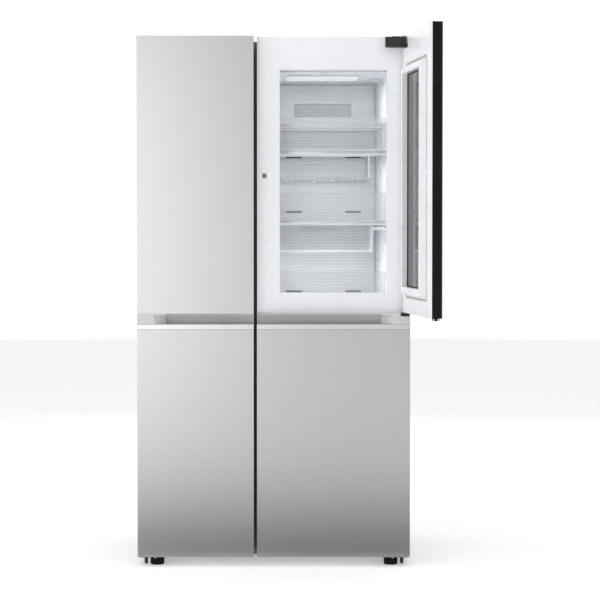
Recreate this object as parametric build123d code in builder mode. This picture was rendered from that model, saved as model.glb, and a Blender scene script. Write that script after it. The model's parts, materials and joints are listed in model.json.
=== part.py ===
"""Side-by-side refrigerator with a door-in-door on its fresh food side. Millimetres, +Z up.

The origin is on the floor under the middle of the cabinet, and the doors face -Y. The outer
door is modelled swung open on its own hinge; everything else is shut.
"""

from build123d import *
import os

# Cabinet, over the painted case
HALF_WIDTH = 456.5
CASE_FRONT = -252.5
CASE_BACK = 367.5
CASE_BOTTOM = 25
CASE_TOP = 1766
SHEET = 1.5
FRAME_T = 3
LINER_T = 3

# Cold compartments, as clear spaces. The outer walls lean in towards the back.
FRIDGE = {"mullion": -37, "front": 400, "back": 365, "side": 1}
FREEZER = {"mullion": -87, "front": -400, "back": -376, "side": -1}
CAVITY_Z = (110, 1664)
BACK_WALL = 290
STEP_Y = 150
STEP_Z = 330

# Compressor bay at the bottom of the back, and the two fans
BAY_FRONT = 188
BAY_TOP = 292
BAY_MIDDLE = 278
COMPRESSOR_X = -250
COMPRESSOR_R = 72
CONDENSER_FAN = (0, BAY_MIDDLE, 140)
EVAPORATOR_FAN = (-232, 254, 1250)
MOTOR_R = 20

# Doors
DOOR_FRONT = -367.5
DOOR_BACK = -264.5
DOOR_Z = (33.5, 1776.5)
FREEZER_DOOR_X = (-HALF_WIDTH, -67)
FRIDGE_DOOR_X = (-56, HALF_WIDTH)
DOOR_LINER_T = 5.5
SKIN_BACK = DOOR_BACK - DOOR_LINER_T
GASKET_FACE = CASE_FRONT - 0.5

# Pocket handles, between the upper and lower panels
UPPER_PANEL_Z = 853
LIP_Z = (797, 815)
LIP_DEPTH = 15
RECESS_BACK = -320
RECESS_BOTTOM = 783

# Door-in-door: window through the inner door, outer door in front of it
INNER_FACE = -327.5
WINDOW_X = (20, 380)
WINDOW_Z = (919, 1667)
WINDOW_WALL = 3
SIDE_TRIM_W = 7
OUTER_BACK = -329.5
OUTER_Z = (855, 1776)
OUTER_GLASS_T = 4
OUTER_OPEN = 96.7
OUTER_PIVOT = (452, -348.5)
OUTER_PIN_R = 3
BRACKET_FOOT = 842
PLUG_GAP = 4
PLUG_DEPTH = 20
PLUG_WALL = 20
LATCH_X = (-39, -23)
LATCH_Y = (INNER_FACE, INNER_FACE + 16)
LATCH_Z = (1303, 1321)
LEVER_PIN = (-28, -348, 851)
LEVER_PIN_R = 1.5

# Hinges and feet
PIVOT = (431.5, -317.5)
PIN_R = 6
BUSH_CLEARANCE = 0.05
HINGE_T = 4
HINGE_ARM_R = 9.5
ARM_Z = (1777.5, 1781.5)
FOOT = (395, -300)
FOOT_R = 22.5
FOOT_H = 22
FOOT_STEM_R = 5
ROLLER = (380, 300, 11)
ROLLER_R = 11
ROLLER_W = 22
AXLE_R = 3

# Shelves, drawers and bins
SHELF_FRONT = -150
SHELF_BACK = 275
SHELF_T = 4
SHELF_CLEAR = 1.5
RIM_W = 10
RIM_H = 9
TRIM_H = 18
RACK_X = (-10, 330)
RACK_WIRE_Z = 1311
RACK_WIRE_R = 2.5
RACK_BAR_R = 3
RACK_PITCH = 30
WELD_GAP = 0.1
BIN_T = 3
BIN_BACK = -200
DRAWER_FRONT = -180
DRAWER_T = 3
DRAWER_REACH = 343
FREEZER_BACK = 228
FRIDGE_SHELVES = (1500, 1405, 1165, 860, 590)
FREEZER_SHELVES = (1430, 1180, 930, 640)
DRAWERS = {
    "snack_drawer": (FRIDGE, (1054, 1144), 240),
    "crisper_upper": (FRIDGE, (360, 565), 240),
    "crisper_lower": (FRIDGE, (120, 340), 140),
    "freezer_drawer_upper": (FREEZER, (360, 615), 220),
    "freezer_drawer_lower": (FREEZER, (120, 340), 140),
}
BIN_X = {"fridge": (-8, 382), "fridge_low": (-8, 335), "freezer": (-335, -105)}
WINDOW_BINS = ((1401, 1511), (1152, 1258), (905, 990))
LOWER_BINS = ((620, 720), (380, 480), (140, 240))
FREEZER_BINS = ((1440, 1540), (1200, 1300), (960, 1060), (660, 750), (380, 480), (140, 240))
FRIDGE_RIBS = (
    ((-25, -10), (125, 1650)),
    ((384, 390), (1150, 1650)),
    ((384, 390), (890, 1000)),
    ((337, 343), (125, 740)),
)
FREEZER_RIBS = (((-103, -97), (125, 1650)), ((-343, -337), (125, 1650)))

LEFT_RIGHT = (-1, 1)

os.makedirs("parts", exist_ok=True)


def save(builder, name):
    """Labels a finished sub-part and writes it."""
    builder.part.label = name
    export_step(builder.part, f"parts/{name}.step")


def save_open(builder, name):
    """Writes a piece of the outer door, swung from shut to its stored open position."""
    hinge = Axis((*OUTER_PIVOT, 0), (0, 0, 1))
    piece = builder.part.rotate(hinge, OUTER_OPEN)
    piece.label = name
    export_step(piece, f"parts/{name}.step")


def block(x, y, z, mode=Mode.ADD):
    """A box between two limits on each axis, in the sub-part being built."""
    sizes = [abs(pair[1] - pair[0]) for pair in (x, y, z)]
    middle = [(pair[0] + pair[1]) / 2 for pair in (x, y, z)]
    with Locations(tuple(middle)):
        Box(*sizes, mode=mode)


def post(x, y, z, radius, mode=Mode.ADD):
    """An upright cylinder between two heights."""
    with Locations((x, y, (z[0] + z[1]) / 2)):
        Cylinder(radius, z[1] - z[0], mode=mode)


def inset(pair, amount):
    """The same limits moved in from both ends, or out where the amount is negative."""
    return (pair[0] + amount, pair[1] - amount)


def wall_x(space, y, gap=0):
    """Where a compartment's leaning outer wall is at one depth, less a gap."""
    share = (y - CASE_FRONT) / (BACK_WALL - CASE_FRONT)
    lean = (space["back"] - space["front"]) * share
    return space["front"] + lean - space["side"] * gap


def plan(space, y, z, gap, mode=Mode.ADD):
    """A flat slab that fills a compartment from wall to wall, less a gap all round."""
    near = space["mullion"] + space["side"] * gap
    corners = [(near, y[0]), (wall_x(space, y[0], gap), y[0])]
    corners += [(wall_x(space, y[1], gap), y[1]), (near, y[1])]
    with BuildSketch(Plane.XY.offset(z[0])) as slab:
        Polygon(*corners, align=None)
    extrude(slab.sketch, amount=z[1] - z[0], mode=mode)


def cavity(space, grow, mode):
    """The stepped inside of a compartment, grown by a wall thickness where asked."""
    low = (CAVITY_Z[0] - grow, STEP_Z - grow)
    high = (STEP_Z - grow, CAVITY_Z[1] + grow)
    plan(space, (CASE_FRONT, STEP_Y + grow), low, -grow, mode)
    plan(space, (CASE_FRONT, BACK_WALL + grow), high, -grow, mode)


def tray(x, y, z, wall):
    """An open-topped box with one wall thickness."""
    block(x, y, z)
    block(inset(x, wall), inset(y, wall), (z[0] + wall, z[1]), Mode.SUBTRACT)


# ---------------------------------------------------------------- cabinet


def outer_case():
    with BuildPart() as case:
        block((-HALF_WIDTH, HALF_WIDTH), (CASE_FRONT, CASE_BACK - SHEET), (CASE_BOTTOM, CASE_TOP))
        inner_x = inset((-HALF_WIDTH, HALF_WIDTH), SHEET)
        block(inner_x, (CASE_FRONT, CASE_BACK), (CASE_BOTTOM, CASE_TOP - SHEET), Mode.SUBTRACT)
    save(case, "outer_case")


def back_panel():
    with BuildPart() as panel:
        block((-HALF_WIDTH, HALF_WIDTH), (CASE_BACK - SHEET, CASE_BACK), (BAY_TOP, CASE_TOP))
    save(panel, "back_panel")


def bay_cover():
    """The louvred cover over the compressor bay."""
    with BuildPart() as cover:
        block((-HALF_WIDTH, HALF_WIDTH), (CASE_BACK - SHEET, CASE_BACK), (CASE_BOTTOM, BAY_TOP))
        with Locations((0, CASE_BACK - SHEET / 2, (CASE_BOTTOM + BAY_TOP) / 2)):
            with GridLocations(150, 1, 4, 1):
                for row in range(8):
                    with Locations((0, 0, (row - 3.5) * 22)):
                        Box(110, SHEET * 4, 7, mode=Mode.SUBTRACT)
    save(cover, "compressor_bay_cover")


def base_tray():
    with BuildPart() as base:
        inner_x = inset((-HALF_WIDTH, HALF_WIDTH), SHEET)
        block(inner_x, (CASE_FRONT, CASE_BACK - SHEET), (CASE_BOTTOM, CASE_BOTTOM + 2))
    save(base, "base_tray")


def front_frame():
    """The steel face that the magnetic gaskets close against."""
    with BuildPart() as frame:
        inner_x = inset((-HALF_WIDTH, HALF_WIDTH), SHEET)
        block(inner_x, (CASE_FRONT, CASE_FRONT + FRAME_T), (CASE_BOTTOM + 2, CASE_TOP - SHEET))
        cavity(FRIDGE, LINER_T, Mode.SUBTRACT)
        cavity(FREEZER, LINER_T, Mode.SUBTRACT)
    save(frame, "front_frame")


def insulation():
    """Foam between the case, the liners and the compressor bay."""
    with BuildPart() as foam:
        inner_x = inset((-HALF_WIDTH, HALF_WIDTH), SHEET)
        foam_z = (CASE_BOTTOM + 2, CASE_TOP - SHEET)
        block(inner_x, (CASE_FRONT + FRAME_T, CASE_BACK - SHEET), foam_z)
        cavity(FRIDGE, LINER_T, Mode.SUBTRACT)
        cavity(FREEZER, LINER_T, Mode.SUBTRACT)
        bay_y = (BAY_FRONT, CASE_BACK)
        block(inner_x, bay_y, (CASE_BOTTOM, BAY_TOP), Mode.SUBTRACT)
    save(foam, "cabinet_insulation")


def bay_wall():
    """The bent sheet that closes the foam off from the compressor bay."""
    with BuildPart() as sheet:
        inner_x = inset((-HALF_WIDTH, HALF_WIDTH), SHEET)
        block(inner_x, (BAY_FRONT, CASE_BACK - SHEET), (CASE_BOTTOM + 2, BAY_TOP))
        under = (CASE_BOTTOM + 2, BAY_TOP - 2)
        block(inner_x, (BAY_FRONT + 2, CASE_BACK - SHEET), under, Mode.SUBTRACT)
    save(sheet, "compressor_bay_wall")


def liner(space, name):
    with BuildPart() as shell:
        cavity(space, LINER_T, Mode.ADD)
        cavity(space, 0, Mode.SUBTRACT)
    save(shell, name)


def compressor():
    with BuildPart() as pot:
        post(COMPRESSOR_X, BAY_MIDDLE, (45, 215), COMPRESSOR_R)
        fillet(pot.edges().filter_by(GeomType.CIRCLE), 32)
        plate = (95, 50)
        plate_x = (COMPRESSOR_X - plate[0], COMPRESSOR_X + plate[0])
        block(plate_x, (BAY_MIDDLE - plate[1], BAY_MIDDLE + plate[1]), (36, 46))
        for x in inset(plate_x, 15):
            for y in (BAY_MIDDLE - 36, BAY_MIDDLE + 36):
                post(x, y, (CASE_BOTTOM + 2, 36), 9)
    save(pot, "compressor")


def condenser_coil():
    """A flat serpentine of tube on edge, with its two end headers."""
    low, high, near, pitch, passes = 60, 250, 120, 26, 11
    points = []
    for turn in range(passes):
        ends = (low, high) if turn % 2 == 0 else (high, low)
        points += [(near + turn * pitch, end) for end in ends]
    with BuildPart() as coil:
        with BuildLine(Plane.XZ.offset(-240)) as path:
            FilletPolyline(*points, radius=pitch / 2 - 0.5)
        with BuildSketch(Plane.XY.offset(low)):
            with Locations((near, 240)):
                Circle(4)
        sweep(path=path.line)
    save(coil, "condenser_coil")


def fan(name, centre, axis, reach, hub, depth):
    """A hub with five blades on a bored axle, turning about X or Y."""
    plane = Plane(origin=centre, z_dir=axis)
    with BuildPart(plane) as rotor:
        Cylinder(hub, depth)
        with PolarLocations((reach + hub) / 2 - 1, 5):
            Box(reach - hub + 2, hub * 1.1, 2, rotation=(24, 0, 0))
        Cylinder(AXLE_R + BUSH_CLEARANCE, depth * 3, mode=Mode.SUBTRACT)
    save(rotor, name)


def fan_motors():
    """Both fans' motors with their axles, and the legs of the one in the compressor bay."""
    x, y, z = CONDENSER_FAN
    with BuildPart() as motors:
        with Locations(Location((x + 22, y, z), (0, 90, 0))):
            Cylinder(MOTOR_R, 30)
        with Locations(Location(CONDENSER_FAN, (0, 90, 0))):
            Cylinder(AXLE_R, 44)
        block((x + 12, x + 32), (y - 8, y + 8), (CASE_BOTTOM + 2, z - 15))
        block((x + 7, x + 37), (y - 38, y + 38), (CASE_BOTTOM + 2, CASE_BOTTOM + 5))
        x, y, z = EVAPORATOR_FAN
        with Locations(Location((x, y + 24, z), (90, 0, 0))):
            Cylinder(MOTOR_R, 24)
        with Locations(Location((x, y + 4, z), (90, 0, 0))):
            Cylinder(AXLE_R, 24)
    save(motors, "fan_motors")


def evaporator():
    """Upright fins joined by the tube runs that pass through them."""
    fin_x, fin_pitch, fin_t, fin_z = -340, 15, 2, (700, 1150)
    row_z, row_pitch, tube_r, tube_length = 730, 56, 5, 250
    with BuildPart() as coil:
        for count in range(15):
            x = fin_x + count * fin_pitch
            block((x, x + fin_t), (244, 286), fin_z)
        for row in range(8):
            z = row_z + row * row_pitch
            with Locations(Location((EVAPORATOR_FAN[0], 265, z), (0, 90, 0))):
                Cylinder(tube_r, tube_length)
    save(coil, "evaporator")


def freezer_duct_cover():
    """The freezer's back panel, with its air outlets, over the evaporator."""
    with BuildPart() as cover:
        block((-374, -89), (232, BACK_WALL), (335, 1655))
        block((-370, -93), (236, BACK_WALL), (339, 1651), Mode.SUBTRACT)
        for z in (1545, 1230, 915, 640):
            for x in (-330, -270, -210, -150):
                block((x - 22, x + 22), (230, 240), (z, z + 10), Mode.SUBTRACT)
    save(cover, "freezer_duct_cover")


def fridge_duct_cover():
    """The fresh food side's back panel, with its large and small air outlets."""
    front = BACK_WALL - 10
    with BuildPart() as cover:
        block((-30, 358), (front, BACK_WALL), (600, 1655))
        block((67, 275), (front, BACK_WALL - 3), (1540, 1588), Mode.SUBTRACT)
        for z in (1390, 1190, 900):
            for x in ((36, 95), (253, 311)):
                block(x, (front, BACK_WALL - 3), (z, z + 11), Mode.SUBTRACT)
    save(cover, "fridge_duct_cover")


def ceiling_lamps():
    top = CAVITY_Z[1]
    with BuildPart() as lamps:
        block((43, 286), (-120, 100), (top - 6, top))
        block((-300, -163), (-120, 20), (top - 6, top))
    save(lamps, "ceiling_lamps")


def shelves():
    """Every shelf's rim and glass, as two groups of separate solids."""
    levels = [(FRIDGE, top) for top in FRIDGE_SHELVES] + [(FREEZER, top) for top in FREEZER_SHELVES]
    with BuildPart() as frames:
        for space, top in levels:
            y = (SHELF_FRONT, SHELF_BACK if space is FRIDGE else FREEZER_BACK)
            far = wall_x(space, SHELF_FRONT, SHELF_CLEAR + 1)
            near = space["mullion"] + space["side"] * SHELF_CLEAR
            plan(space, y, (top - RIM_H, top), SHELF_CLEAR)
            plan(space, inset(y, RIM_W), (top - RIM_H, top), SHELF_CLEAR + RIM_W, Mode.SUBTRACT)
            block((near, far), (SHELF_FRONT, SHELF_FRONT + RIM_W), (top - TRIM_H, top))
    save(frames, "shelf_rims")
    with BuildPart() as panes:
        for space, top in levels:
            y = (SHELF_FRONT, SHELF_BACK if space is FRIDGE else FREEZER_BACK)
            plan(space, inset(y, RIM_W), (top - SHELF_T, top), SHELF_CLEAR + RIM_W)
    save(panes, "shelf_glass")


def bottle_rack():
    """Wires that hang under the second shelf and cradle bottles on their sides.

    The posts, the cross bars and the wires are separate rods, a weld apart.
    """
    shelf = FRIDGE_SHELVES[1]
    y = (SHELF_FRONT + RIM_W / 2, SHELF_BACK - RIM_W / 2)
    bar_z = RACK_WIRE_Z - RACK_WIRE_R - WELD_GAP - RACK_BAR_R
    post_foot = bar_z + RACK_BAR_R + WELD_GAP
    with BuildPart() as rack:
        for bar_y, post_top in ((y[0], shelf - TRIM_H), (y[1], shelf - RIM_H)):
            with Locations(Location((sum(RACK_X) / 2, bar_y, bar_z), (0, 90, 0))):
                Cylinder(RACK_BAR_R, RACK_X[1] - RACK_X[0])
            for x in inset(RACK_X, 5):
                post(x, bar_y, (post_foot, post_top), RACK_BAR_R)
        for x in range(RACK_X[0] + 20, RACK_X[1], RACK_PITCH):
            with Locations(Location((x, sum(y) / 2, RACK_WIRE_Z), (90, 0, 0))):
                Cylinder(RACK_WIRE_R, y[1] - y[0])
    save(rack, "bottle_rack")


def drawer_limits(space):
    """The width of a drawer's box in a compartment."""
    near = space["mullion"] + space["side"] * 10
    return tuple(sorted((near, space["side"] * DRAWER_REACH)))


def drawer_rails():
    """Ledges on both walls of a compartment, one pair under each drawer's flanges."""
    with BuildPart() as rails:
        for space, z, back in DRAWERS.values():
            ledge = (z[1] - 14, z[1] - DRAWER_T - 1)
            plan(space, (SHELF_FRONT, back), ledge, 0)
            block(inset(drawer_limits(space), -1.5), (SHELF_FRONT, back), ledge, Mode.SUBTRACT)
    save(rails, "drawer_rails")


def drawer(name):
    """A clear drawer with a taller front and a flange along each side."""
    space, z, back = DRAWERS[name]
    x = drawer_limits(space)
    with BuildPart() as box:
        block(x, (DRAWER_FRONT, back - 4), z)
        fillet(box.edges().filter_by(Axis.Z).group_by(Axis.Y)[0], 6)
        block(inset(x, -6), (SHELF_FRONT, back - 4), (z[1] - DRAWER_T, z[1]))
        inner_y = (DRAWER_FRONT + DRAWER_T, back - 4 - DRAWER_T)
        block(inset(x, DRAWER_T), inner_y, (z[0] + DRAWER_T, z[1]), Mode.SUBTRACT)
    save(box, name)


def top_hinges():
    """Plates on the case top whose arms reach over the doors and hang their upper pins."""
    with BuildPart() as hinges:
        for side in LEFT_RIGHT:
            x = sorted((side * 405, side * 448))
            arm_x = (side * PIVOT[0] - HINGE_ARM_R, side * PIVOT[0] + HINGE_ARM_R)
            block(x, (CASE_FRONT, -170), (CASE_TOP, CASE_TOP + HINGE_T))
            block(x, (CASE_FRONT, CASE_FRONT + 8), (CASE_TOP, ARM_Z[1]))
            block(arm_x, (PIVOT[1], CASE_FRONT), ARM_Z)
            post(side * PIVOT[0], PIVOT[1], ARM_Z, HINGE_ARM_R)
            post(side * PIVOT[0], PIVOT[1], (1738, ARM_Z[0]), PIN_R)
    save(hinges, "top_hinges")


def hinge_covers():
    """Hollow caps over the hinge plates, lower at the front where the arms come out."""
    with BuildPart() as caps:
        for side in LEFT_RIGHT:
            x = sorted((side * 402, side * 452))
            block(x, (-250, -120), (CASE_TOP, 1785))
            block(x, (-205, -120), (1785, 1790))
            block(inset(x, 2.5), (-251, -122.5), (CASE_TOP, 1782.5), Mode.SUBTRACT)
    save(caps, "hinge_covers")


def bottom_hinges():
    """Brackets under the case front, with the lower pins and threaded eyes for the feet."""
    with BuildPart() as brackets:
        for side in LEFT_RIGHT:
            x = sorted((side * 365, side * 452))
            block(x, (-330, CASE_FRONT), (26, 32))
            block(x, (-262, CASE_FRONT), (19, 32))
            block(x, (-262, -180), (19, CASE_BOTTOM))
            post(side * PIVOT[0], PIVOT[1], (8, 58), PIN_R)
            with Locations((side * PIVOT[0], PIVOT[1], 5.25)):
                Cone(1, PIN_R, 5.5)
            post(side * FOOT[0], FOOT[1], (20, 40), FOOT_STEM_R + BUSH_CLEARANCE, Mode.SUBTRACT)
    save(brackets, "bottom_hinges")


def levelling_foot(side, name):
    with BuildPart() as foot:
        post(side * FOOT[0], FOOT[1], (0, FOOT_H), FOOT_R)
        fillet(foot.edges().group_by(Axis.Z)[0], 2)
        post(side * FOOT[0], FOOT[1], (FOOT_H, 32.5), FOOT_STEM_R)
    save(foot, name)


def roller(side, name):
    with BuildPart() as wheel:
        with Locations(Location((side * ROLLER[0], ROLLER[1], ROLLER[2]), (0, 90, 0))):
            Cylinder(ROLLER_R, ROLLER_W)
            Cylinder(AXLE_R + BUSH_CLEARANCE, ROLLER_W, mode=Mode.SUBTRACT)
    save(wheel, name)


def roller_brackets():
    with BuildPart() as forks:
        for side in LEFT_RIGHT:
            middle = side * ROLLER[0]
            for cheek in LEFT_RIGHT:
                x = middle + cheek * (ROLLER_W / 2 + 3)
                block((x - 1.5, x + 1.5), (290, 310), (6, CASE_BOTTOM))
            with Locations(Location((middle, ROLLER[1], ROLLER[2]), (0, 90, 0))):
                Cylinder(AXLE_R, ROLLER_W + 9)
    save(forks, "roller_brackets")


# ---------------------------------------------------------------- main doors


def bore(side, z, radius):
    """A bore for one of a main door's hinge pins."""
    post(side * PIVOT[0], PIVOT[1], z, radius, Mode.SUBTRACT)


def upper_skin():
    """The freezer door's upper steel panel."""
    z = (UPPER_PANEL_Z, DOOR_Z[1])
    with BuildPart() as skin:
        block(FREEZER_DOOR_X, (DOOR_FRONT, SKIN_BACK), z)
        hollow_y = (DOOR_FRONT + SHEET, SKIN_BACK)
        block(inset(FREEZER_DOOR_X, SHEET), hollow_y, (z[0], z[1] - SHEET), Mode.SUBTRACT)
        bore(-1, (z[1] - 5, z[1]), PIN_R + BUSH_CLEARANCE)
    save(skin, "freezer_door_upper_panel")


def lower_skin(x, side, name):
    with BuildPart() as skin:
        z = (DOOR_Z[0], LIP_Z[0])
        block(x, (DOOR_FRONT, SKIN_BACK), z)
        inner_y = (DOOR_FRONT + SHEET, SKIN_BACK)
        block(inset(x, SHEET), inner_y, (z[0] + SHEET, z[1] - SHEET), Mode.SUBTRACT)
        top_y = (DOOR_FRONT + LIP_DEPTH, SKIN_BACK)
        block(inset(x, SHEET), top_y, (z[1] - 2 * SHEET, z[1]), Mode.SUBTRACT)
        bore(side, (30, 36), PIN_R + BUSH_CLEARANCE)
    save(skin, name)


def handle_lip(x, name):
    with BuildPart() as lip:
        block(x, (DOOR_FRONT, DOOR_FRONT + LIP_DEPTH), LIP_Z)
        chamfer(lip.edges().filter_by(Axis.X).group_by(Axis.Y)[0], 1.2)
    save(lip, name)


def handle_recess(x, side, name):
    """A moulded finger pocket that deepens down behind the lip and ramps out at its end."""
    behind = DOOR_FRONT + LIP_DEPTH
    top, lip_top, floor = UPPER_PANEL_Z, LIP_Z[1], LIP_Z[0]
    outline = [(DOOR_FRONT, top), (SKIN_BACK, top), (SKIN_BACK, floor), (RECESS_BACK, floor)]
    outline += [(RECESS_BACK, RECESS_BOTTOM), (behind + 2, RECESS_BOTTOM), (behind + 2, floor)]
    outline += [(behind, floor), (behind, lip_top), (DOOR_FRONT, lip_top)]
    pocket = [(DOOR_FRONT - 1, lip_top + 1), (behind + 4, lip_top + 1), (behind + 4, 794)]
    pocket += [(-340, 787), (-328, 796), (-326, 815), (-334, 834), (-350, 846), (DOOR_FRONT - 1, 851)]
    free = x[0] if side > 0 else x[1]
    full = side * 360
    with BuildPart() as scoop:
        with BuildSketch(Plane.YZ.offset(x[0])):
            Polygon(*outline, align=None)
        extrude(amount=x[1] - x[0])
        with BuildSketch(Plane.YZ.offset(min(free, full))):
            Polygon(*pocket, align=None)
        extrude(amount=abs(full - free), mode=Mode.SUBTRACT)
        with BuildSketch(Plane.XY.offset(lip_top + 1)):
            edge = DOOR_FRONT - 1
            Polygon((full, edge), (side * 402, edge), (full, edge + 28), align=None)
        extrude(amount=30, mode=Mode.SUBTRACT)
        for end in ((x[0], x[0] + SHEET), (x[1] - SHEET, x[1])):
            block(end, (behind, RECESS_BACK), (RECESS_BOTTOM, floor), Mode.SUBTRACT)
        if side > 0:
            block((424, HALF_WIDTH), (DOOR_FRONT, -325), (BRACKET_FOOT, top), Mode.SUBTRACT)
            block((-53, -3), (DOOR_FRONT, -338), (844, top), Mode.SUBTRACT)
    save(scoop, name)


def door_core(x, side, name):
    """The foam inside a main door."""
    inner_x = inset(x, SHEET)
    with BuildPart() as foam:
        block(inner_x, (DOOR_FRONT + SHEET, SKIN_BACK), (DOOR_Z[0] + SHEET, LIP_Z[0]))
        top_y = (DOOR_FRONT + SHEET, DOOR_FRONT + LIP_DEPTH)
        block(inner_x, top_y, (LIP_Z[0] - SHEET, LIP_Z[0]), Mode.SUBTRACT)
        dip_y = (DOOR_FRONT + LIP_DEPTH + 2, RECESS_BACK)
        block(inner_x, dip_y, (RECESS_BOTTOM, LIP_Z[0]), Mode.SUBTRACT)
        if side < 0:
            upper_z = (UPPER_PANEL_Z, DOOR_Z[1] - SHEET)
            block(inner_x, (DOOR_FRONT + SHEET, SKIN_BACK), upper_z)
        else:
            upper_x = (x[0] + SIDE_TRIM_W + WINDOW_WALL, x[1] - WINDOW_WALL)
            upper_z = inset((UPPER_PANEL_Z, DOOR_Z[1]), WINDOW_WALL)
            upper_y = (INNER_FACE + WINDOW_WALL, SKIN_BACK)
            block(upper_x, upper_y, upper_z)
            hole = (inset(WINDOW_X, -WINDOW_WALL), upper_y, inset(WINDOW_Z, -WINDOW_WALL))
            block(*hole, Mode.SUBTRACT)
            block(inset(LATCH_X, 2), LATCH_Y, inset(LATCH_Z, 2), Mode.SUBTRACT)
        bore(side, (1730, DOOR_Z[1]), PIN_R + 2)
        bore(side, (30, 64), PIN_R + 2)
    save(foam, name)


def door_liner(x, side, ribs, name):
    """The white inner face of a main door, with the ribs that its bins hang between."""
    with BuildPart() as panel:
        block(x, (SKIN_BACK, DOOR_BACK), DOOR_Z)
        for rib_x, rib_z in ribs:
            block(rib_x, (DOOR_BACK, -225), rib_z)
        if side > 0:
            block(WINDOW_X, (SKIN_BACK, DOOR_BACK), WINDOW_Z, Mode.SUBTRACT)
    save(panel, name)


def ring(x, y, z, wall):
    """A rectangular frame on edge, open along Y."""
    block(x, y, z)
    block(inset(x, wall), y, inset(z, wall), Mode.SUBTRACT)


def door_gasket(x, name):
    with BuildPart() as seal:
        ring(x, (DOOR_BACK, GASKET_FACE), (60, 1755), 12)
    save(seal, name)


def door_bins(x, levels, name):
    with BuildPart() as bins:
        for z in levels:
            tray(x, (DOOR_BACK, BIN_BACK), z, BIN_T)
    save(bins, name)


def window_frame():
    """The white upper half of the fresh food door, round its window opening."""
    x = (FRIDGE_DOOR_X[0] + SIDE_TRIM_W, FRIDGE_DOOR_X[1])
    z = (UPPER_PANEL_Z, DOOR_Z[1])
    y = (INNER_FACE, SKIN_BACK)
    inner_y = (INNER_FACE + WINDOW_WALL, SKIN_BACK)
    with BuildPart() as frame:
        block(x, y, z)
        block(inset(x, WINDOW_WALL), inner_y, inset(z, WINDOW_WALL), Mode.SUBTRACT)
        block(inset(WINDOW_X, -WINDOW_WALL), inner_y, inset(WINDOW_Z, -WINDOW_WALL))
        block(WINDOW_X, y, WINDOW_Z, Mode.SUBTRACT)
        window_edges = frame.edges().filter_by(Axis.Y).filter_by_position(
            Axis.X, WINDOW_X[0], WINDOW_X[1]
        )
        corners = window_edges.filter_by_position(Axis.Z, WINDOW_Z[0], WINDOW_Z[1])
        fillet([edge for edge in corners if edge.length > 50], 2.5)
        bore(1, (z[1] - 5, z[1]), PIN_R + BUSH_CLEARANCE)
        block(LATCH_X, (INNER_FACE, INNER_FACE + 1.5), LATCH_Z, Mode.SUBTRACT)
        block(inset(LATCH_X, 2), LATCH_Y, inset(LATCH_Z, 2), Mode.SUBTRACT)
    save(frame, "fridge_door_window_frame")


def side_trim():
    with BuildPart() as strip:
        x = (FRIDGE_DOOR_X[0], FRIDGE_DOOR_X[0] + SIDE_TRIM_W)
        block(x, (INNER_FACE, SKIN_BACK), (UPPER_PANEL_Z, DOOR_Z[1]))
    save(strip, "fridge_door_side_trim")


def outer_door_hinges():
    """The block and the bracket on the fresh food door that carry the outer door's pins."""
    x, y = OUTER_PIVOT
    with BuildPart() as hinges:
        block((373, 443), (-356, INNER_FACE), (1740, 1774))
        block((440, 456), (y - 4.5, y + 4.5), (1745, 1751))
        post(x, y, (1700, 1745), OUTER_PIN_R)
        block((428, 456), (-362, -325), (845, 850))
        block((428, 456), (-330, -325), (BRACKET_FOOT, 850))
        post(x, y, (850, 885), OUTER_PIN_R)
    save(hinges, "outer_door_hinges")


# ---------------------------------------------------------------- outer door


def outer_notch():
    """Clears the upper hinge block behind the outer door's front."""
    block((365, HALF_WIDTH), (-358, OUTER_BACK), (1732, OUTER_Z[1]), Mode.SUBTRACT)


def outer_door():
    """The outer door's five fixed pieces, made shut and written open."""
    x = FRIDGE_DOOR_X
    pane_x = inset(WINDOW_X, PLUG_GAP + PLUG_WALL)
    pane_z = inset(WINDOW_Z, PLUG_GAP + PLUG_WALL)
    glass_back = DOOR_FRONT + OUTER_GLASS_T
    plate_front = OUTER_BACK - 5.5
    pane_y = (OUTER_BACK - 2.5, OUTER_BACK + 1.5)
    with BuildPart() as glass:
        block(x, (DOOR_FRONT, glass_back), OUTER_Z)
    save_open(glass, "outer_door_glass")
    with BuildPart() as frame:
        block(x, (glass_back, plate_front), OUTER_Z)
        block(pane_x, (glass_back, plate_front), pane_z, Mode.SUBTRACT)
        outer_notch()
        bush = OUTER_PIN_R + BUSH_CLEARANCE
        post(*OUTER_PIVOT, (1695, 1740), bush, Mode.SUBTRACT)
        post(*OUTER_PIVOT, (850, 890), bush, Mode.SUBTRACT)
        for tab_x in ((-50, -48), (-8, -6)):
            block(tab_x, (-352, -344), (847, OUTER_Z[0]))
        with Locations(Location(LEVER_PIN, (0, 90, 0))):
            Cylinder(LEVER_PIN_R, 42)
    save_open(frame, "outer_door_frame")
    with BuildPart() as panel:
        block(x, (plate_front, OUTER_BACK), OUTER_Z)
        plug_x, plug_z = inset(WINDOW_X, PLUG_GAP), inset(WINDOW_Z, PLUG_GAP)
        block(plug_x, (OUTER_BACK, OUTER_BACK + PLUG_DEPTH), plug_z)
        fillet(panel.edges().filter_by(Axis.Y).group_by(Axis.Y)[-1], 8)
        block(pane_x, (plate_front, OUTER_BACK + PLUG_DEPTH), pane_z, Mode.SUBTRACT)
        hook_x, hook_z = inset(LATCH_X, 5), (LATCH_Z[0] + 4, LATCH_Z[1] - 5)
        block(hook_x, (OUTER_BACK, OUTER_BACK + 12), (hook_z[1] - 4, hook_z[1]))
        block(hook_x, (OUTER_BACK + 8, OUTER_BACK + 12), hook_z)
        outer_notch()
    save_open(panel, "outer_door_liner")
    with BuildPart() as pane:
        block(pane_x, pane_y, pane_z)
    save_open(pane, "outer_door_window")
    with BuildPart() as seal:
        seal_y = (OUTER_BACK, INNER_FACE - 0.3)
        ring(inset(WINDOW_X, -14), seal_y, inset(WINDOW_Z, -14), 8)
    save_open(seal, "outer_door_gasket")


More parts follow.
